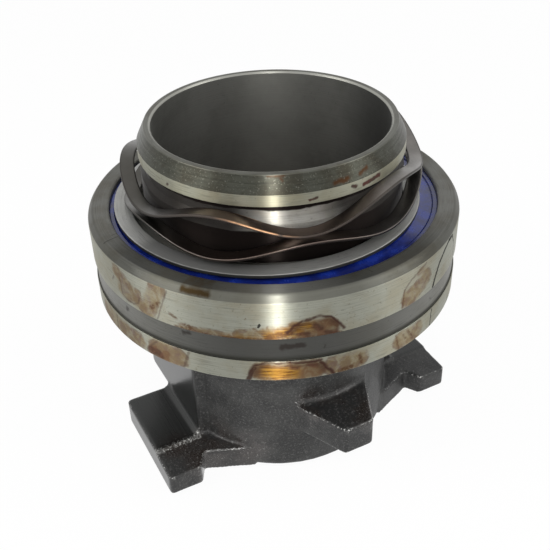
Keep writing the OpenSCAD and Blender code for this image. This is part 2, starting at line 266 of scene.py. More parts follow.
def spring_mesh(name):
    """The wave spring's flat wire, swept along its formula."""
    count = round(360 * WAVE_TURNS / WAVE_STEP)
    angles = [WAVE_START + 360 * WAVE_TURNS * k / count for k in range(count + 1)]
    heights = [wave_height(a) for a in angles]
    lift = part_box("wave_spring")[0].z - min(heights)
    section = wire_section()
    n = len(section)
    points = []
    for angle, height in zip(angles, heights):
        ahead = math.radians(angle)
        for out, up in section:
            r = WAVE_R - WAVE_W + out
            points.append((r * math.cos(ahead) + WAVE_SHIFT.x,
                           r * math.sin(ahead) + WAVE_SHIFT.y,
                           lift + height + up))
    faces = [(k * n + (j + 1) % n, (k + 1) * n + (j + 1) % n, (k + 1) * n + j, k * n + j)
             for k in range(count) for j in range(n)]
    faces += [tuple(range(n)), tuple(reversed(range(count * n, count * n + n)))]
    mesh = bpy.data.meshes.new(name)
    mesh.from_pydata(points, [], faces)
    add_share(mesh, "edge", wire_wear(section, count))
    return mesh


def rounded_sleeve(name):
    """The sleeve's solid with its edges rounded, as a mesh."""
    rough = bpy.data.objects.new(name + "_rough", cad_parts["sleeve"].data.copy())
    bpy.context.scene.collection.objects.link(rough)
    remesh = rough.modifiers.new("remesh", "REMESH")
    remesh.mode = "VOXEL"
    remesh.voxel_size = SLEEVE_VOXEL
    smooth = rough.modifiers.new("smooth", "SMOOTH")
    smooth.factor = 0.5
    smooth.iterations = SLEEVE_SMOOTHING
    thin = rough.modifiers.new("thin", "DECIMATE")
    thin.ratio = SLEEVE_KEEP
    shape = rough.evaluated_get(bpy.context.evaluated_depsgraph_get())
    mesh = bpy.data.meshes.new_from_object(shape)
    mesh.name = name
    bpy.data.objects.remove(rough)
    mesh.materials.clear()
    return mesh


def sleeve_mesh(name):
    """The sleeve as a casting: cast faces slightly uneven, milled faces and edges marked."""
    mesh = rounded_sleeve(name)
    places = np.zeros(len(mesh.vertices) * 3)
    mesh.vertices.foreach_get("co", places)
    places = places.reshape(-1, 3)
    normals = np.array([v.normal for v in mesh.vertices])
    milled = milled_share(places, normals)
    for k, (place, normal) in enumerate(zip(places, normals)):
        if milled[k] < 0.5:
            swell = noise.fractal(Vector(place) / CAST_SWELL_SIZE, 1.0, 2.0, 3)
            places[k] = place + normal * swell * CAST_SWELL
    mesh.vertices.foreach_set("co", places.ravel())
    add_share(mesh, "milled", milled)
    add_share(mesh, "edge", edge_share(mesh, places, normals))
    return mesh


def milled_share(places, normals):
    """1 on the faces that a cutter has cleaned, 0 elsewhere."""
    x = np.abs(places[:, 0])
    z = places[:, 2]
    radius = np.hypot(places[:, 0], places[:, 1])
    sideways = np.abs(normals[:, 0]) > FACING
    up = normals[:, 2]
    pad = (up > FACING) & (np.abs(z - PAD_Z) < MILLED_DEPTH) & (x > FLAT_X)
    flat = sideways & (np.abs(x - FLAT_X) < MILLED_DEPTH) & (z > PAD_Z)
    end = sideways & (np.abs(x - LUG_X) < MILLED_DEPTH)
    corner = (x > FLAT_X) & (x < FLAT_X + PAD_FILLET) & (z > PAD_Z) & (z < PAD_Z + PAD_FILLET)
    base = (up < -FACING) & (z < MILLED_DEPTH)
    bore = radius < SLEEVE_BORE_R
    flange = (z > FLANGE_Z) & (radius > FLANGE_R)
    return (pad | flat | corner | end | base | bore | flange).astype(float)


def edge_share(mesh, places, normals):
    """How far each point stands out past its neighbours, from 0 on a flat to 1 on a sharp outer edge."""
    ends = np.zeros(len(mesh.edges) * 2, int)
    mesh.edges.foreach_get("vertices", ends)
    a, b = ends.reshape(-1, 2).T
    step = places[b] - places[a]
    length = np.linalg.norm(step, axis=1) + SAME_PLACE
    total = np.zeros(len(places))
    count = np.zeros(len(places))
    np.add.at(total, a, -(step * normals[a]).sum(1) / length)
    np.add.at(total, b, (step * normals[b]).sum(1) / length)
    np.add.at(count, a, 1)
    np.add.at(count, b, 1)
    return np.clip(total / np.maximum(count, 1) * EDGE_GAIN, 0, 1)


# Shader nodes

class Shader:
    """A material's node tree, with one short call for each kind of node."""

    def __init__(self, name):
        self.material = bpy.data.materials.new(name)
        self.material.use_nodes = True
        self.tree = self.material.node_tree
        self.surface = self.tree.nodes["Principled BSDF"]

    def node(self, kind, values=(), **settings):
        """A new node with its settings, and values or links for its inputs."""
        node = self.tree.nodes.new(kind)
        for key, value in settings.items():
            setattr(node, key, value)
        for key, value in dict(values).items():
            self.put(node.inputs[key], value)
        return node

    def put(self, socket, value):
        """Links or sets one input."""
        if isinstance(value, bpy.types.NodeSocket):
            self.tree.links.new(value, socket)
        elif isinstance(value, tuple) and len(value) == 3 and socket.type == "RGBA":
            socket.default_value = (*value, 1)
        else:
            socket.default_value = value

    def set(self, **values):
        """Sets the surface's own inputs, named with _ for a space."""
        names = {key.lower().replace(" ", "_"): key for key in self.surface.inputs.keys()}
        for key, value in values.items():
            self.put(self.surface.inputs[names[key]], value)

    def math(self, operation, a, b=0.0, c=0.0):
        """Result of a sum on numbers."""
        return self.node("ShaderNodeMath", {0: a, 1: b, 2: c}, operation=operation).outputs[0]

    def vector(self, operation, a, b=(0, 0, 0)):
        """Node of a sum on places; its result is a vector or a value."""
        return self.node("ShaderNodeVectorMath", {0: a, 1: b}, operation=operation)

    def ramp(self, value, low, high, to_low=0.0, to_high=1.0):
        """The value from low to high as a smooth step from to_low to to_high."""
        return self.node("ShaderNodeMapRange", {0: value, 1: low, 2: high, 3: to_low, 4: to_high},
                         interpolation_type="SMOOTHSTEP").outputs[0]

    def mix(self, share, a, b):
        """Colour a with a share of colour b."""
        return self.node("ShaderNodeMix", {0: share, 6: a, 7: b}, data_type="RGBA").outputs[2]

    def place(self):
        """Place on the object, turned so that its Y axis points away from the camera."""
        place = self.node("ShaderNodeTexCoord").outputs["Object"]
        return self.node("ShaderNodeVectorRotate", {"Vector": place, "Angle": VIEW_TURN},
                         rotation_type="Z_AXIS").outputs[0]

    def noise(self, place, size, detail=2.0, roughness=0.5, twist=0.0):
        """Noise from 0 to 1 with features of a size in metres."""
        values = {"Vector": place, "Scale": 1 / size, "Detail": detail, "Roughness": roughness,
                  "Distortion": twist}
        return self.node("ShaderNodeTexNoise", values).outputs[0]

    def round(self, place):
        """Cylindrical places: degrees to the right of the front, radius in mm, height in mm."""
        parts = self.node("ShaderNodeSeparateXYZ", {0: place}).outputs
        away = self.math("MULTIPLY", parts[1], -1.0)
        turn = self.math("DEGREES", self.math("ARCTAN2", parts[0], away))
        flat = self.vector("MULTIPLY", place, (1, 1, 0)).outputs[0]
        radius = self.math("MULTIPLY", self.vector("LENGTH", flat).outputs["Value"], 1 / MM)
        return turn, radius, self.math("MULTIPLY", parts[2], 1 / MM)

    def lines(self, along, size):
        """Fine turning lines: noise that changes with one number, in mm, only."""
        spot = self.node("ShaderNodeCombineXYZ", {2: along}).outputs[0]
        return self.noise(spot, size, 3.0, 0.7)

    def wander(self, here, place, size, reach):
        """A spot in mm, moved about by noise with features of a size in metres."""
        values = {"Vector": place, "Scale": 1 / size, "Detail": 3.0, "Roughness": 0.6}
        drift = self.node("ShaderNodeTexNoise", values).outputs["Color"]
        drift = self.vector("SUBTRACT", drift, (0.5, 0.5, 0.5)).outputs[0]
        drift = self.vector("MULTIPLY", drift, (2 * reach, 2 * reach, 0)).outputs[0]
        return self.vector("ADD", here, drift).outputs[0]

    def strokes(self, here, marks):
        """Distance in mm from the nearest of several round-ended strokes; below 0 inside a stroke."""
        nearest = None
        for start, end, half_width in marks:
            run = Vector((*end, 0)) - Vector((*start, 0))
            step = self.vector("SUBTRACT", here, (*start, 0)).outputs[0]
            if run.length > 0:
                share = self.vector("DOT_PRODUCT", step, tuple(run / run.length_squared)).outputs["Value"]
                share = self.math("MINIMUM", self.math("MAXIMUM", share, 0.0), 1.0)
                foot = self.node("ShaderNodeVectorMath", {0: tuple(run), "Scale": share}, operation="SCALE")
                step = self.vector("SUBTRACT", step, foot.outputs[0]).outputs[0]
            distance = self.vector("LENGTH", step).outputs["Value"]
            distance = self.math("SUBTRACT", distance, half_width)
            nearest = distance if nearest is None else self.math("MINIMUM", nearest, distance)
        return nearest

    def upright(self):
        """1 where the surface faces up, 0 on a wall and -1 where it faces down."""
        normal = self.node("ShaderNodeNewGeometry").outputs["Normal"]
        return self.node("ShaderNodeSeparateXYZ", {0: normal}).outputs[2]

    def near(self, value, reach):
        """1 where a value is 0, falling to 0 at a distance on either side."""
        return self.ramp(self.math("ABSOLUTE", value), 0.2 * reach, reach, 1.0, 0.0)

    def bump(self, height, depth, strength=1.0):
        """Normal of a surface with that height field, in metres of depth."""
        values = {"Height": height, "Distance": depth, "Strength": strength}
        return self.node("ShaderNodeBump", values).outputs[0]

    def brushed(self, amount):
        """Stretches highlights across lines that run round the axis."""
        tangent = self.node("ShaderNodeTangent", direction_type="RADIAL", axis="Z").outputs[0]
        self.set(anisotropic=amount, anisotropic_rotation=0.25, tangent=tangent)


# Stains and marks, as strokes: start and end in degrees to the right of the front and mm of height, and half
# width in mm. They are set after the photograph at the front and freely behind.

def stroke(start, end, half_width, radius=RING_R):
    """A stroke unrolled from a cylinder, in mm."""
    flat = math.radians(1) * radius / MM
    return (start[0] * flat, start[1]), (end[0] * flat, end[1]), half_width


def chain(points, half_width, radius=RING_R):
    """Strokes from point to point."""
    return [stroke(a, b, half_width, radius) for a, b in zip(points, points[1:])]


# Thin brown varnish on the lands
LAND_FILM = [
    stroke((-51, 94.5), (-45, 91), 2.8), stroke((-48.6, 88.6), (-43.6, 88), 2.8),
    stroke((-41.6, 91), (-41, 86.4), 1.6), stroke((-33.5, 97), (-38.5, 86), 3),
    stroke((39.5, 87), (46, 90.5), 3.6), stroke((44, 95), (47, 92), 1.6),
    stroke((5, 87), (13.5, 87), 3.2), stroke((-10, 85), (2, 86.4), 2.4),
    stroke((-27, 84.5), (-14, 84.5), 1.2), stroke((-63, 70), (-44, 70), 3.4),
    stroke((-36, 70.5), (-29.5, 70.5), 4.2), stroke((-4, 70), (9, 70), 4.6),
    stroke((15.5, 70), (22, 70), 4), stroke((37.5, 70.5), (44, 70), 3.6), stroke((125, 90), (150, 88), 5),
    stroke((-150, 90), (-115, 89), 4), stroke((105, 70), (135, 70), 3.5),
    stroke((-140, 70), (-120, 70), 3.5)]
# Charred places in it
LAND_BURNT = [
    stroke((10.2, 87.8), (11.4, 86.6), 1.3), stroke((12.5, 84.8), (16, 84.6), 1.0),
    stroke((5.5, 85), (8, 84.6), 0.9), stroke((3.6, 71.8), (4.8, 71.2), 0.8),
    stroke((8.5, 72.2), (10, 71.8), 0.8), stroke((-39, 68.2), (-36, 68.6), 1.8),
    stroke((130, 85), (142, 86), 1.8), stroke((-130, 84.5), (-122, 85), 1.4),
    stroke((112, 68), (121, 69), 1.6)]
# Dark rims of the two thick patches at the front, and the brown insides of thick patches
LAND_RIMS = (
    chain([(2.6, 86.4), (4.6, 89.2), (7, 90.8), (10.9, 91.6), (14.3, 90.2), (18.2, 85.2)], 0.5)
    + chain([(-8.5, 66.4), (-7.4, 70.4), (-6.8, 71.6)], 0.9)
    + chain([(-6.8, 72.6), (-2.6, 74), (11.4, 73.6)], 0.5)
    + chain([(11.4, 72.8), (13.3, 69.5), (15.3, 66.7)], 0.5))
LAND_WASH = [
    stroke((6, 86.6), (13.8, 86.4), 3.6), stroke((-4.6, 69.6), (10.5, 69.6), 3.6),
    stroke((-38, 69), (-34, 69.4), 2.6)]
# Small rusty spots, and an oily film that shines like gold
LAND_SPOTS = [
    stroke((-29, 83.9), (17, 83.7), 0.4), stroke((-2.5, 84.5), (3, 86), 1.2),
    stroke((-37, 87.8), (-36, 88.6), 0.7), stroke((-34.4, 90.3), (-33.9, 91), 0.5),
    stroke((-30.3, 88.2), (-28.4, 87.3), 0.5), stroke((-25.6, 85.4), (-23.8, 84.8), 0.8),
    stroke((37, 84.3), (37.3, 91), 0.4), stroke((17.3, 67.1), (20.2, 67.7), 1.1),
    stroke((23.6, 68), (23, 71.8), 0.6), stroke((35.2, 73.6), (36.8, 67), 0.4),
    stroke((40, 72.6), (42.4, 68.6), 0.5), stroke((38.2, 72), (39.2, 70), 0.4)]
LAND_GOLD = [
    stroke((-3, 84.8), (3, 86.4), 1.6), stroke((2, 87.4), (5.5, 89), 0.8),
    stroke((-3, 69.8), (3, 69.8), 2.6), stroke((5.5, 87), (8.5, 88.4), 1.4),
    stroke((-14, 84), (-3, 84.1), 0.3)]
# Black cracks, and thin outlines of dried drops
LAND_LINES = (
    chain([(51, 84.2), (52, 87.5), (54, 92), (57, 95), (60, 96.9), (63.3, 96.7)], 0.55)
    + chain([(63.3, 96.5), (66, 92), (67.2, 86)], 0.2) + chain([(-55.8, 67.6), (-55.4, 73.4)], 0.12)
    + chain([(51.4, 67), (51.8, 74)], 0.22) + chain([(65, 67.2), (65.8, 70)], 0.2)
    + chain([(-5.1, 88.7), (-4.8, 89.5)], 0.42))
LAND_OUTLINES = (
    chain([(-49.6, 92.5), (-49.2, 86.6), (-47, 85.2), (-44, 85.4), (-42, 87), (-41.2, 89.3)], 0.18)
    + chain([(-30.6, 97), (-35, 84)], 0.16) + chain([(37.3, 91), (40, 94), (46, 96.8)], 0.25)
    + chain([(-36.4, 74), (-40.2, 69)], 0.25) + chain([(-25.5, 74), (-27.6, 66.8)], 0.35)
    + chain([(-53, 91.5), (-54, 89.5)], 0.2))
# Marks in the recess and on the bevel
RECESS_MARKS = [
    stroke((1, 80), (6.5, 80.3), 1.2), stroke((12.5, 78.2), (12.6, 79), 0.3),
    stroke((-49.2, 79.7), (-48.6, 80.6), 0.8), stroke((50.8, 79.4), (51.6, 78.8), 0.35),
    stroke((-27, 81.5), (-25, 81.9), 0.7), stroke((95, 79), (99, 79.4), 0.9),
    stroke((-140, 80), (-137, 80.2), 0.8)]
BEVEL_MARKS = [
    stroke((-26, 99), (-18.5, 99), 0.8), stroke((110, 99), (118, 99), 0.6)]
# Scratches on the ring's top face, with mm of radius in place of height
TOP_SCRATCHES = [
    stroke((-61, 61.5), (-60, 67), 0.14), stroke((-63, 61), (-62.6, 63), 0.12),
    stroke((119, 61.5), (118, 66.5), 0.14), stroke((28, 62), (28.6, 64), 0.1)]
# Rust on the nose: on its bright band, and on the cone and rim
BAND_MARKS = [
    stroke((13.5, 121.3), (16.5, 121.6), 0.45, NOSE_R), stroke((37.5, 121.6), (46, 122.3), 0.75, NOSE_R),
    stroke((31.5, 122.6), (33.5, 122), 0.55, NOSE_R), stroke((-46.2, 121.2), (-45.8, 121.5), 0.4, NOSE_R),
    stroke((-104, 121.5), (-97, 121.7), 0.5, NOSE_R), stroke((140, 121.4), (146, 121.8), 0.5, NOSE_R)]
RIM_MARKS = [
    stroke((-2, 129.3), (4, 129.2), 0.4, NOSE_R), stroke((3, 128.6), (3.4, 128), 0.35, NOSE_R),
    stroke((24, 125), (30, 125.3), 0.7, NOSE_R), stroke((36, 125.5), (40, 126.5), 0.6, NOSE_R),
    stroke((-120, 128), (-114, 128.4), 0.6, NOSE_R)]


def turned_steel(name, colour, warm, roughness, shine=0.85, streaked=0.45):
    """Turned steel: fine lines round the axis, slow changes of tint and small dark specks.

    The shader keeps its place, tint, roughness and streaks, for the finishes that build on it.
    """
    sh = Shader(name)
    sh.spot = sh.place()
    sh.turn, sh.radius, sh.height = sh.round(sh.spot)
    lines = sh.lines(sh.math("ADD", sh.radius, sh.height), 0.35)
    run = sh.math("MULTIPLY", sh.turn, 0.06)
    run = sh.node("ShaderNodeCombineXYZ", {0: run, 1: sh.radius, 2: sh.height}).outputs[0]
    sh.streaks = sh.noise(run, 0.5, 3.0, 0.6)
    cloud = sh.noise(sh.spot, 14 * MM, 4.0, 0.6)
    specks = sh.ramp(sh.noise(sh.spot, 0.9 * MM, 2.0), 0.66, 0.74)
    dark = tuple(0.4 * c for c in colour)
    tint = sh.mix(sh.ramp(cloud, 0.4, 0.65), colour, warm)
    tint = sh.mix(sh.math("MULTIPLY", specks, 0.5), tint, dark)
    tint = sh.mix(sh.ramp(sh.streaks, 0.52, 0.7, 0.0, streaked), tint, dark)
    sh.tint = sh.mix(sh.ramp(lines, 0.3, 0.75, 0.0, 0.3), tint, dark)
    sh.rough = sh.math("ADD", sh.ramp(lines, 0.25, 0.75, roughness - 0.06, roughness + 0.08),
                       sh.ramp(cloud, 0.3, 0.7, 0.0, 0.05))
    sh.set(metallic=1.0, roughness=sh.rough, base_color=sh.tint)
    sh.set(normal=sh.bump(lines, 0.02 * MM, 0.4))
    sh.brushed(shine)
    return sh


def unrolled(sh, across, radius):
    """Place on a cylinder or disc unrolled into mm: along the turn, and across it."""
    along = sh.math("MULTIPLY", sh.turn, math.radians(1) * radius / MM)
    return sh.node("ShaderNodeCombineXYZ", {0: along, 1: across}).outputs[0]


def land_varnish(sh, coarse, fine, bubbles):
    """Colour of the varnish: brown, freckled and blistered."""
    colour = sh.mix(sh.ramp(coarse, 0.38, 0.62), (0.235, 0.180, 0.094), (0.180, 0.130, 0.076))
    colour = sh.mix(sh.ramp(fine, 0.52, 0.7, 0.0, 0.3), colour, (0.15, 0.085, 0.045))
    return sh.mix(sh.ramp(bubbles, 0.48, 0.64, 0.0, 0.75), colour, (0.155, 0.100, 0.080))


def land_film(sh, tint, soft, coarse, fine, bubbles):
    """The lands' steel with rust and the film of varnish, darker at its edge."""
    rust = sh.math("MULTIPLY", sh.ramp(fine, 0.60, 0.70), sh.ramp(coarse, 0.45, 0.62))
    film = sh.strokes(soft, LAND_FILM)
    share = sh.math("MULTIPLY", sh.ramp(film, -1.0, 1.0, 1.0, 0.0), sh.ramp(coarse, 0.3, 0.6, 0.45, 0.95))
    edge = sh.math("MULTIPLY", sh.near(film, 0.7), sh.ramp(coarse, 0.45, 0.6, 0.0, 0.5))
    tint = sh.mix(sh.math("MULTIPLY", rust, 0.6), tint, (0.13, 0.085, 0.035))
    tint = sh.mix(share, tint, land_varnish(sh, coarse, fine, bubbles))
    return sh.mix(edge, tint, (0.12, 0.075, 0.05))


def land_patches(sh, soft, coarse, bubbles):
    """Shares of the thick patches' insides and of their rims, which fade inwards."""
    inside = sh.ramp(sh.strokes(soft, LAND_WASH), -1.2, 0.5, 1.0, 0.0)
    away = sh.strokes(soft, LAND_RIMS)
    fade = sh.math("MULTIPLY", inside, sh.ramp(away, 0.0, 2.6, 0.65, 0.0))
    rims = sh.math("MAXIMUM", sh.ramp(away, -0.4, 0.5, 0.9, 0.0), fade)
    rims = sh.math("MULTIPLY", rims, sh.ramp(coarse, 0.3, 0.5, 0.6, 1.0))
    return sh.math("MULTIPLY", inside, sh.ramp(bubbles, 0.35, 0.6, 0.25, 0.75)), rims


def land_steel():
    """Bright lands of the outer ring, with the varnish that burnt oil has left."""
    sh = turned_steel("land_steel", (0.345, 0.350, 0.295), (0.32, 0.305, 0.235), 0.40, 1.0)
    here = unrolled(sh, sh.height, RING_R)
    soft = sh.wander(here, sh.spot, 6 * MM, 1.6)
    keen = sh.wander(here, sh.spot, 1.6 * MM, 0.5)
    jagged = sh.wander(here, sh.spot, 1.1 * MM, 0.6)
    crisp = sh.wander(here, sh.spot, 0.7 * MM, 0.45)
    coarse = sh.noise(sh.spot, 5 * MM, 4.0, 0.65, 0.6)
    fine = sh.noise(sh.spot, 0.8 * MM, 3.0, 0.6)
    bubbles = sh.noise(sh.spot, 3.4 * MM, 3.0, 0.6, 1.2)
    inside, rims = land_patches(sh, soft, coarse, bubbles)
    gold = sh.ramp(sh.strokes(soft, LAND_GOLD), -1.8, 2.4, 1.0, 0.0)
    gold = sh.math("MULTIPLY", gold, sh.ramp(coarse, 0.3, 0.55, 0.45, 1.0))
    amber = sh.mix(sh.ramp(sh.streaks, 0.42, 0.62), (0.30, 0.160, 0.030), (0.09, 0.036, 0.010))
    spots = sh.ramp(sh.strokes(jagged, LAND_SPOTS), -0.5, 0.5, 0.85, 0.0)
    spots = sh.math("MULTIPLY", spots, sh.ramp(fine, 0.35, 0.55, 0.35, 1.0))
    burnt = sh.ramp(sh.strokes(soft, LAND_BURNT), -0.9, 0.9, 0.85, 0.0)
    char = sh.mix(sh.ramp(bubbles, 0.4, 0.62), (0.065, 0.028, 0.020), (0.125, 0.062, 0.040))
    outlines = sh.ramp(sh.strokes(keen, LAND_OUTLINES), -0.15, 0.45, 0.5, 0.0)
    lines = sh.ramp(sh.strokes(crisp, LAND_LINES), -0.12, 0.16, 0.92, 0.0)
    tint = land_film(sh, sh.tint, soft, coarse, fine, bubbles)
    tint = sh.mix(inside, tint, (0.150, 0.082, 0.040))
    tint = sh.mix(gold, tint, amber)
    tint = sh.mix(spots, tint, (0.095, 0.048, 0.025))
    tint = sh.mix(burnt, tint, char)
    tint = sh.mix(rims, tint, (0.045, 0.018, 0.013))
    tint = sh.mix(outlines, tint, (0.075, 0.045, 0.035))
    tint = sh.mix(lines, tint, (0.016, 0.014, 0.013))
    sh.set(base_color=tint, metallic=sh.ramp(rims, 0.0, 1.0, 1.0, 0.9),
           roughness=sh.math("ADD", sh.rough, sh.math("MULTIPLY", lines, 0.3)))
    return sh.material


def recess_steel():
    """Dull grey recess between the lands, with painted shade in its lower corner and a painted dark
    reflection at the front.
    """
    sh = turned_steel("recess_steel", (0.175, 0.174, 0.158), (0.155, 0.152, 0.132), 0.42, 0.3)
    here = sh.wander(unrolled(sh, sh.height, RING_R), sh.spot, 3 * MM, 1.3)
    mark = sh.ramp(sh.strokes(here, RECESS_MARKS), -0.7, 0.5, 0.75, 0.0)
    # Painted shade: darker towards the lower corner of the recess.
    corner_shade = sh.ramp(sh.height, RECESS_LOW / MM + 0.4, RECESS_LOW / MM + 2.2, 0.6, 0.0)
    # Painted dark reflection: darker at the front, fading out by about 50 degrees to either side.
    painted_dark = sh.ramp(sh.math("ABSOLUTE", sh.turn), 8.0, 52.0, 0.85, 0.0)
    tint = sh.mix(painted_dark, sh.tint, (0.040, 0.040, 0.038))
    tint = sh.mix(corner_shade, tint, (0.022, 0.022, 0.016))
    sh.set(base_color=sh.mix(mark, tint, (0.018, 0.013, 0.011)), metallic=0.9)
    return sh.material


def top_steel():
    """Darker top face and bevel of the outer ring, with a few scratches across it, a painted dark reflection
    on the top face at the front sides and a painted highlight on the bevel at the front.
    """
    sh = turned_steel("top_steel", (0.165, 0.165, 0.150), (0.137, 0.130, 0.108), 0.38, 1.0)
    keen = sh.wander(unrolled(sh, sh.height, RING_R), sh.spot, 2 * MM, 0.6)
    rust = sh.ramp(sh.strokes(keen, BEVEL_MARKS), -0.6, 0.7, 0.92, 0.0)
    scratch = sh.ramp(sh.strokes(unrolled(sh, sh.radius, RING_R), TOP_SCRATCHES), -0.05, 0.15, 0.85, 0.0)
    bevel = sh.ramp(sh.radius, RING_R / MM - 2.6, RING_R / MM - 2.0)
    away = sh.math("ABSOLUTE", sh.turn)
    # Painted dark reflection: the top face darker to either side of the front, inside the bevel.
    painted_dark = sh.math("MULTIPLY", sh.ramp(away, 6.0, 26.0, 0.0, 0.62), sh.ramp(away, 40.0, 75.0, 1.0, 0.0))
    painted_dark = sh.math("MULTIPLY", painted_dark, sh.ramp(sh.radius, RING_R / MM - 2.8, RING_R / MM - 2.2, 1.0, 0.0))
    # Painted highlight: the bevel lighter towards the front.
    painted_highlight = sh.math("MULTIPLY", bevel, sh.ramp(away, 8.0, 45.0, 0.4, 0.0))
    tint = sh.mix(sh.math("MULTIPLY", bevel, 0.3), sh.tint, (0.05, 0.05, 0.038))
    tint = sh.mix(painted_highlight, tint, (0.27, 0.27, 0.225))
    tint = sh.mix(painted_dark, tint, (0.012, 0.013, 0.012))
    tint = sh.mix(rust, tint, (0.048, 0.028, 0.008))
    sh.set(base_color=sh.mix(scratch, tint, (0.03, 0.028, 0.025)))
    return sh.material


def nose_steel():
    """Cone of the nose: olive-grey, brushed and lightly pitted."""
    sh = turned_steel("nose_steel", (0.080, 0.082, 0.067), (0.054, 0.050, 0.038), 0.36, 0.95)
    here = sh.wander(unrolled(sh, sh.height, NOSE_R), sh.spot, 2 * MM, 0.8)
    rust = sh.ramp(sh.strokes(here, RIM_MARKS), -0.6, 0.5, 0.9, 0.0)
    grain = sh.noise(sh.spot, 0.5 * MM, 2.0, 0.6)
    smear = sh.ramp(sh.noise(sh.spot, 2.2 * MM, 5.0, 0.75), 0.48, 0.66, 0.0, 0.5)
    tint = sh.mix(smear, sh.tint, (0.05, 0.048, 0.036))
    tint = sh.mix(sh.ramp(grain, 0.60, 0.72, 0.0, 0.5), tint, (0.26, 0.26, 0.22))
    sh.set(base_color=sh.mix(rust, tint, (0.055, 0.026, 0.012)), normal=sh.bump(grain, 0.02 * MM, 0.6))
    return sh.material


def rim_steel():
    """Flat rim of the nose, with a painted highlight along its inner edge."""
    sh = turned_steel("rim_steel", (0.125, 0.126, 0.108), (0.09, 0.085, 0.068), 0.34, 0.8)
    # Painted highlight: a light line along the rim's inner edge.
    painted_highlight = sh.ramp(sh.radius, BORE_R / MM + 0.5, BORE_R / MM + 0.9, 0.65, 0.0)
    sh.set(base_color=sh.mix(painted_highlight, sh.tint, (0.46, 0.46, 0.42)))
    return sh.material


def band_steel():
    """Bright worn band on the nose, with rust-brown patches."""
    sh = turned_steel("band_steel", (0.34, 0.34, 0.27), (0.31, 0.295, 0.215), 0.38, 1.0)
    here = sh.wander(unrolled(sh, sh.height, NOSE_R), sh.spot, 1.6 * MM, 0.6)
    rust = sh.ramp(sh.strokes(here, BAND_MARKS), -0.3, 0.35, 0.97, 0.0)
    hue = sh.ramp(sh.noise(sh.spot, 3 * MM, 2.0), 0.4, 0.6)
    brown = sh.mix(hue, (0.060, 0.014, 0.010), (0.035, 0.018, 0.012))
    sh.set(base_color=sh.mix(rust, sh.tint, brown), metallic=sh.ramp(rust, 0, 1, 1.0, 0.6))
    return sh.material


def neck_steel():
    """Groove and lower wall of the nose: shiny, black behind the spring, with painted shade under the band
    and a painted dark reflection away from the front.
    """
    sh = turned_steel("neck_steel", (0.50, 0.49, 0.46), (0.42, 0.40, 0.35), 0.38, 1.0)
    drift = sh.ramp(sh.noise(sh.spot, 6 * MM, 3.0), 0.3, 0.7, -0.25, 0.25)
    level = sh.math("ADD", sh.height, drift)
    # Painted shade: black in the groove just under the band.
    under = sh.ramp(level, BAND_LOW / MM - 2.6, BAND_LOW / MM - 2.0)
    # Black on the lower wall behind the spring.
    behind = sh.ramp(level, DARK_BELOW / MM - 1.0, DARK_BELOW / MM + 0.6, 1.0, 0.0)
    # Painted dark reflection: darker away from the front.
    round_side = sh.ramp(sh.math("ABSOLUTE", sh.math("SUBTRACT", sh.turn, 6.0)), 7.0, 24.0, 0.0, 0.93)
    painted_dark = sh.math("MAXIMUM", sh.math("MAXIMUM", under, behind), round_side)
    sh.set(base_color=sh.mix(painted_dark, sh.tint, (0.014, 0.011, 0.010)))
    return sh.material


def bore_steel():
    """Inside of the nose: dull, with a painted highlight at the back and painted shade on the right."""
    sh = turned_steel("bore_steel", (0.140, 0.140, 0.129), (0.112, 0.112, 0.102), 0.52, 0.5, 0.1)
    # Painted shade: darker on the right.
    dim = sh.ramp(sh.turn, 20.0, 75.0, 0.0, 0.7)
    dim = sh.math("MULTIPLY", dim, sh.ramp(sh.turn, 105.0, 150.0, 1.0, 0.0))
    # Painted highlight: lighter at the back.
    clear = sh.ramp(sh.math("ABSOLUTE", sh.turn), 150.0, 174.0, 0.0, 0.35)
    tint = sh.mix(dim, sh.tint, (0.045, 0.045, 0.044))
    sh.set(base_color=sh.mix(clear, tint, (0.24, 0.24, 0.22)), metallic=0.8)
    return sh.material


def washer_steel():
    """Dull loose washer, with an oily smear on its left and painted shade that makes its outer wall black."""
    sh = turned_steel("washer_steel", (0.44, 0.44, 0.425), (0.41, 0.41, 0.39), 0.58, 0.2)
    smear = sh.ramp(sh.turn, -56.0, -48.0, 0.0, 0.9)
    smear = sh.math("MULTIPLY", smear, sh.ramp(sh.turn, -16.0, 6.0, 1.0, 0.0))
    # Painted shade: black where the washer does not face up, as on its outer wall.
    wall = sh.ramp(sh.upright(), 0.3, 0.85, 0.9, 0.0)
    tint = sh.mix(smear, sh.tint, (0.21, 0.21, 0.205))
    sh.set(base_color=sh.mix(wall, tint, (0.03, 0.03, 0.028)))
    return sh.material


def plain_steel():
    """The rings' other faces, most of them hidden."""
    return turned_steel("plain_steel", (0.22, 0.22, 0.20), (0.20, 0.195, 0.17), 0.36).material


def seal_rubber():
    """Smooth dark blue rubber with a little dust."""
    sh = Shader("seal_rubber")
    place = sh.place()
    cloud = sh.noise(place, 8 * MM, 4.0, 0.6)
    dust = sh.ramp(sh.noise(place, 0.7 * MM, 3.0), 0.62, 0.8, 0.0, 0.25)
    tint = sh.mix(sh.ramp(cloud, 0.35, 0.7), (0.005, 0.010, 0.085), (0.008, 0.027, 0.240))
    sh.set(base_color=sh.mix(dust, tint, (0.10, 0.10, 0.15)), roughness=sh.ramp(cloud, 0.3, 0.7, 0.18, 0.3))
    sh.set(normal=sh.bump(sh.noise(place, 0.8 * MM), 0.02 * MM, 0.25))
    return sh.material


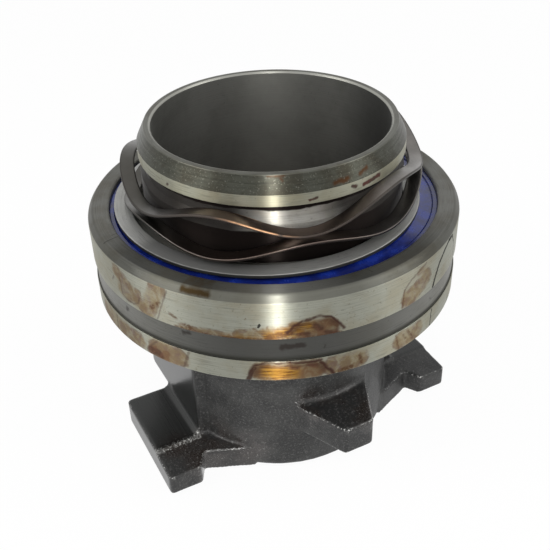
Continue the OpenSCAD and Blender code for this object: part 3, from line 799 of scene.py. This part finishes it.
def spring_steel():
    """Dark tempered wire, brown-black, with a coppery edge near the front that is partly bare metal and
    partly painted glint, a painted warm reflection near the front, and painted shade on its sides and rounded
    edges.
    """
    sh = Shader("spring_steel")
    place = sh.place()
    cloud = sh.noise(place, 9 * MM, 4.0, 0.6)
    fine = sh.noise(place, 1.0 * MM, 3.0)
    edge = sh.node("ShaderNodeAttribute", attribute_name="edge").outputs["Fac"]
    turn = sh.round(place)[0]
    bare = sh.math("MULTIPLY", sh.ramp(edge, 0.2, 1.0), sh.ramp(cloud, 0.42, 0.58))
    # Copper edge: the bare metal of the upper edges, kept only near the front as a painted glint.
    beside = sh.math("ABSOLUTE", sh.math("ADD", turn, 6.0))
    bare = sh.math("MULTIPLY", bare, sh.ramp(beside, 4.0, 16.0, 0.85, 0.0))
    # Painted reflection: a warm brown glow near the front.
    warm = sh.ramp(sh.math("ABSOLUTE", turn), 10.0, 55.0, 0.8, 0.0)
    tint = sh.mix(sh.ramp(cloud, 0.35, 0.7), (0.15, 0.142, 0.132), (0.21, 0.198, 0.185))
    dull = sh.ramp(turn, -150.0, -115.0, 0.0, 0.8)
    dull = sh.math("MULTIPLY", dull, sh.ramp(turn, -65.0, -30.0, 1.0, 0.0))
    tint = sh.mix(dull, tint, (0.055, 0.053, 0.046))
    tint = sh.mix(warm, tint, (0.195, 0.140, 0.118))
    tint = sh.mix(sh.ramp(fine, 0.55, 0.75, 0.0, 0.08), tint, (0.06, 0.046, 0.040))
    # Painted shade: darker on the wire's sides and on its rounded upper edges.
    side = sh.ramp(sh.math("ABSOLUTE", sh.upright()), 0.3, 0.65, 0.7, 0.0)
    side = sh.math("MAXIMUM", side, sh.math("MULTIPLY", edge, 0.85))
    tint = sh.mix(side, tint, (0.036, 0.032, 0.028))
    tint = sh.mix(bare, tint, (0.55, 0.32, 0.18))
    rough = sh.math("ADD", sh.ramp(fine, 0.3, 0.7, 0.28, 0.33), sh.math("MULTIPLY", edge, 0.15))
    sh.set(base_color=tint, metallic=1.0, roughness=rough)
    sh.set(normal=sh.bump(cloud, 0.02 * MM, 0.3))
    return sh.material


# Oily places on the casting: place in the model's frame and reach, in metres
WET_PLACES = [
    ((-0.046, -0.028, 0.011), 0.016), ((-0.056, -0.019, 0.011), 0.010), ((-0.033, -0.036, 0.010), 0.012),
    ((0.004, -0.055, 0.033), 0.014), ((-0.010, -0.048, 0.034), 0.010)]


def wet_share(sh, model, cloud):
    """Share of oily film on the casting, in clouds round the oily places."""
    wet = None
    for spot, reach in WET_PLACES:
        away = sh.vector("DISTANCE", model, spot).outputs["Value"]
        share = sh.ramp(away, 0.3 * reach, reach, 1.0, 0.0)
        wet = share if wet is None else sh.math("MAXIMUM", wet, share)
    return sh.math("MULTIPLY", wet, sh.ramp(cloud, 0.35, 0.55))


def pad_step(sh, x, y, z):
    """Share of the painted highlight on the step between the left lug's milled pad and its cast part."""
    beside = sh.math("ABSOLUTE", sh.math("ADD", y, STEP_Y))
    step = sh.math("MULTIPLY", sh.ramp(beside, 0.3 * STEP_RUN, STEP_RUN, 0.7, 0.0),
                   sh.math("LESS_THAN", x, -FLAT_X))
    return sh.math("MULTIPLY", step, sh.math("GREATER_THAN", z, PAD_Z - STEP_RUN))


def cast_iron():
    """Dark oily sand casting with painted highlights along its edges, on the left lug's step and as glints
    where it is oily; milled faces are smoother and carry fine cutter lines.
    """
    sh = Shader("cast_iron")
    model = sh.node("ShaderNodeTexCoord").outputs["Object"]
    x, y, z = sh.node("ShaderNodeSeparateXYZ", {0: model}).outputs
    milled = sh.node("ShaderNodeAttribute", attribute_name="milled").outputs["Fac"]
    edge = sh.node("ShaderNodeAttribute", attribute_name="edge").outputs["Fac"]
    cloud = sh.noise(model, 12 * MM, 4.0, 0.6)
    sand = sh.noise(model, 0.8 * MM, 4.0, 0.7)
    cutter = sh.lines(sh.math("MULTIPLY", x, 1 / MM), 0.5)
    wet = wet_share(sh, model, cloud)
    step = pad_step(sh, x, y, z)
    cast = sh.mix(sh.ramp(cloud, 0.35, 0.7), (0.016, 0.016, 0.016), (0.036, 0.036, 0.035))
    cast = sh.mix(sh.ramp(sand, 0.50, 0.68, 0.0, 0.6), cast, (0.105, 0.105, 0.102))
    clean = sh.mix(sh.ramp(cutter, 0.3, 0.7), (0.035, 0.036, 0.035), (0.050, 0.051, 0.050))
    tint = sh.mix(milled, cast, clean)
    # Painted highlight: the step on the left lug lighter.
    tint = sh.mix(sh.math("MULTIPLY", step, 0.5), tint, (0.20, 0.20, 0.19))
    tint = sh.mix(sh.math("MULTIPLY", wet, 0.7), tint, (0.016, 0.009, 0.006))
    # Painted highlights: light specks along sharp edges and on the step, and glints in the oily places.
    bright = sh.math("MAXIMUM", sh.ramp(edge, 0.2, 0.65), step)
    painted_highlight = sh.math("MULTIPLY", bright, sh.ramp(sand, 0.50, 0.64))
    glint = sh.math("MULTIPLY", sh.ramp(sand, 0.60, 0.68), sh.math("MULTIPLY", wet, 0.3))
    painted_highlight = sh.math("MAXIMUM", sh.math("MULTIPLY", painted_highlight, 0.85), glint)
    tint = sh.mix(painted_highlight, tint, (0.60, 0.60, 0.58))
    rough = sh.math("SUBTRACT", sh.ramp(sand, 0.3, 0.75, 0.40, 0.62), sh.math("MULTIPLY", wet, 0.26))
    smooth = sh.ramp(cutter, 0.3, 0.7, 0.26, 0.34)
    rough = sh.node("ShaderNodeMix", {0: milled, 2: rough, 3: smooth}).outputs[0]
    sh.set(base_color=tint, metallic=sh.ramp(milled, 0, 1, 0.15, 0.8), roughness=rough)
    grain = sh.math("MULTIPLY", sand, sh.ramp(milled, 0, 1, 1.0, 0.04))
    sh.set(normal=sh.bump(grain, 0.3 * MM, 0.9), specular_ior_level=0.3, coat_roughness=0.2)
    sh.set(coat_weight=sh.math("ADD", sh.math("MULTIPLY", wet, 0.9), 0.1))
    return sh.material


def ball_steel():
    """Polished balls, with a faint cloud of wear."""
    sh = Shader("ball_steel")
    cloud = sh.noise(sh.place(), 4 * MM, 2.0)
    sh.set(base_color=sh.mix(cloud, (0.62, 0.62, 0.63), (0.70, 0.70, 0.70)), metallic=1.0,
           roughness=sh.ramp(cloud, 0.3, 0.7, 0.06, 0.12))
    return sh.material


def cage_plastic():
    """Moulded cream-coloured cage."""
    sh = Shader("cage_plastic")
    place = sh.place()
    cloud = sh.noise(place, 7 * MM, 4.0)
    sh.set(base_color=sh.mix(cloud, (0.55, 0.47, 0.30), (0.66, 0.58, 0.41)), roughness=0.45)
    sh.set(normal=sh.bump(sh.noise(place, 0.4 * MM), 0.02 * MM, 0.3))
    return sh.material


def bush_bronze():
    """Turned bronze of the guide bushes."""
    return turned_steel("bush_bronze", (0.36, 0.23, 0.095), (0.30, 0.18, 0.07), 0.36).material


# Pieces

def ring_finish(r, z):
    """0 bright land, 1 recess, 2 top face and bevel, 3 the rest."""
    if r > LAND_R and z < LAND_HIGH:
        return 1 if RECESS_LOW < z < RECESS_HIGH else 0
    return 2 if z > BEVEL_LOW and r > SEAL_SEAT_R + SLACK else 3


def nose_finish(r, z):
    """0 cone, 1 bright band, 2 bore, 3 groove and lower wall, 4 shoulder and the rest, 5 rim."""
    if r < BORE_R + 2 * SLACK and z < BORE_HIGH:
        return 2
    if z > BAND_TOP:
        return 5 if z > RIM_LOW or r < RIM_R else 0
    if z > BAND_LOW and r > BAND_R:
        return 1
    return 3 if z > SHOULDER_Z + SLACK else 4


def one_finish(r, z):
    """The same material all over."""
    return 0


def dress_pieces():
    """The six finer pieces that stand for CAD nodes, and materials for the nodes that stay."""
    plain = plain_steel()
    wire = spring_steel()
    rubber = seal_rubber()
    add_piece("sleeve_casting", sleeve_mesh("sleeve_casting"),
              "housing", [cast_iron()], "sleeve")
    ring = [land_steel(), recess_steel(), top_steel(), plain]
    add_piece("bearing_outer_ring", turned_mesh("bearing_outer_ring", "outer_ring", ring_finish),
              "housing", ring, "outer_ring")
    nose = [nose_steel(), band_steel(), bore_steel(), neck_steel(), plain, rim_steel()]
    add_piece("bearing_nose_ring", turned_mesh("bearing_nose_ring", "inner_ring", nose_finish),
              "inner", nose, "inner_ring")
    add_piece("blue_seal", turned_mesh("blue_seal", "upper_seal", one_finish),
              "housing", [rubber], "upper_seal")
    add_piece("loose_washer", turned_mesh("loose_washer", "thrust_washer", one_finish),
              "inner", [washer_steel()], "thrust_washer")
    add_piece("wave_spring_wire", spring_mesh("wave_spring_wire"),
              "inner", [wire], "wave_spring")
    kept = {"lower_seal": rubber, "disc_spring": wire, "retaining_ring": wire, "ball_cage": cage_plastic(),
            "lower_guide_bush": bush_bronze(), "ball": ball_steel()}
    kept["upper_guide_bush"] = kept["lower_guide_bush"]
    for name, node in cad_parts.items():
        is_ball = name.startswith("ball_") and name != "ball_cage"
        finish = kept.get("ball" if is_ball else name)
        if finish:
            node.material_slots[0].material = finish


# Stage

FLOOR_SIZE = 8
FLOOR_DROP = 0.1 * MM
BACKGROUND_SHARE = 0.95
HORIZON_LIGHT = 0.95
HORIZON_END = 0.55
CEILING_LIGHT = 0.35
CEILING_START = 0.95


def white_to_lens(tree, kind, other, share):
    """Mixes plain white into a surface or sky for what the camera, mirrors and glass see of it."""
    rays = tree.nodes.new("ShaderNodeLightPath").outputs
    seen = rays["Is Camera Ray"]
    for name in ("Is Glossy Ray", "Is Transmission Ray"):
        both = tree.nodes.new("ShaderNodeMath")
        both.operation = "MAXIMUM"
        tree.links.new(seen, both.inputs[0])
        tree.links.new(rays[name], both.inputs[1])
        seen = both.outputs[0]
    part = tree.nodes.new("ShaderNodeMath")
    part.operation = "MULTIPLY"
    tree.links.new(seen, part.inputs[0])
    part.inputs[1].default_value = share
    white = tree.nodes.new(kind)
    white.inputs["Color"].default_value = (1, 1, 1, 1)
    white.inputs["Strength"].default_value = 1
    mix = tree.nodes.new("ShaderNodeMixShader")
    tree.links.new(part.outputs[0], mix.inputs[0])
    tree.links.new(other, mix.inputs[1])
    tree.links.new(white.outputs[0], mix.inputs[2])
    return mix.outputs[0]


def make_floor():
    """White floor under the part, nearly plain white to the camera so that a soft shadow stays."""
    half = FLOOR_SIZE / 2
    mesh = bpy.data.meshes.new("floor")
    corners = [(-half, -half), (half, -half), (half, half), (-half, half)]
    mesh.from_pydata([(x, y, -FLOOR_DROP) for x, y in corners], [], [(0, 1, 2, 3)])
    floor = bpy.data.objects.new("floor", mesh)
    bpy.context.scene.collection.objects.link(floor)
    material = bpy.data.materials.new("floor_white")
    material.use_nodes = True
    tree = material.node_tree
    surface = tree.nodes["Principled BSDF"]
    surface.inputs["Base Color"].default_value = (0.86, 0.86, 0.86, 1)
    surface.inputs["Roughness"].default_value = 0.9
    surface.inputs["Specular IOR Level"].default_value = 0.0
    mixed = white_to_lens(tree, "ShaderNodeEmission", surface.outputs[0], BACKGROUND_SHARE)
    tree.links.new(mixed, tree.nodes["Material Output"].inputs["Surface"])
    mesh.materials.append(material)


def make_sky():
    """Light room, brightest near the horizon, and plain white to the camera and in mirrors."""
    world = bpy.data.worlds.new("room")
    bpy.context.scene.world = world
    world.use_nodes = True
    tree = world.node_tree
    room = tree.nodes["Background"]
    room.inputs["Color"].default_value = (0.98, 0.99, 1.0, 1)
    direction = tree.nodes.new("ShaderNodeTexCoord").outputs["Generated"]
    up = tree.nodes.new("ShaderNodeSeparateXYZ")
    tree.links.new(direction, up.inputs[0])
    light = tree.nodes.new("ShaderNodeMapRange")
    light.interpolation_type = "SMOOTHSTEP"
    for key, value in enumerate((HORIZON_END, CEILING_START, HORIZON_LIGHT, CEILING_LIGHT), 1):
        light.inputs[key].default_value = value
    tree.links.new(up.outputs[2], light.inputs[0])
    tree.links.new(light.outputs[0], room.inputs["Strength"])
    mixed = white_to_lens(tree, "ShaderNodeBackground", room.outputs[0], 1.0)
    tree.links.new(mixed, tree.nodes["World Output"].inputs["Surface"])


def add_lamp(name, place, target, width, height, power):
    """Soft lamp, placed and aimed in the camera's frame."""
    lamp = bpy.data.lights.new(name, "AREA")
    lamp.shape = "RECTANGLE"
    lamp.size = width
    lamp.size_y = height
    lamp.energy = power
    lamp.color = (1.0, 0.99, 0.97)
    holder = bpy.data.objects.new(name, lamp)
    bpy.context.scene.collection.objects.link(holder)
    turn = Matrix.Rotation(-VIEW_TURN, 4, "Z")
    start = turn @ Vector(place)
    aim = turn @ Vector(target)
    holder.location = start
    holder.rotation_mode = "QUATERNION"
    holder.rotation_quaternion = (aim - start).to_track_quat("-Z", "Y")


def make_lamps():
    """Two narrow strips for the bright line down the front, and two soft lamps for the rest."""
    middle = (0, 0, 0.08)
    add_lamp("front_strip", (0.0, -0.45, 0.13), (0, 0, 0.1), width=0.03, height=0.24, power=0.7)
    add_lamp("high_strip", (0.0, -0.37, 0.47), (0, -0.07, 0.1), width=0.03, height=0.16, power=0.5)
    add_lamp("left_lamp", (-0.9, -0.3, 0.7), middle, width=0.6, height=0.6, power=4)
    add_lamp("right_lamp", (0.9, -0.2, 0.7), middle, width=0.6, height=0.6, power=3)


def make_camera():
    """Camera at the photograph's viewpoint."""
    lens = bpy.data.cameras.new("camera")
    lens.lens = CAMERA_LENS
    lens.sensor_width = 36
    lens.shift_x, lens.shift_y = CAMERA_SHIFT
    lens.clip_start = 0.01
    camera = bpy.data.objects.new("camera", lens)
    bpy.context.scene.collection.objects.link(camera)
    camera.matrix_world = (Matrix.Rotation(-VIEW_TURN, 4, "Z") @ Matrix.Translation(CAMERA_PLACE)
                           @ Matrix.Rotation(math.radians(90) - CAMERA_TILT, 4, "X")
                           @ Matrix.Rotation(CAMERA_ROLL, 4, "Z"))
    bpy.context.scene.camera = camera


make_camera()
make_floor()
make_sky()
make_lamps()
dress_pieces()
bpy.context.scene.view_settings.view_transform = "Standard"

bpy.context.view_layer.update()
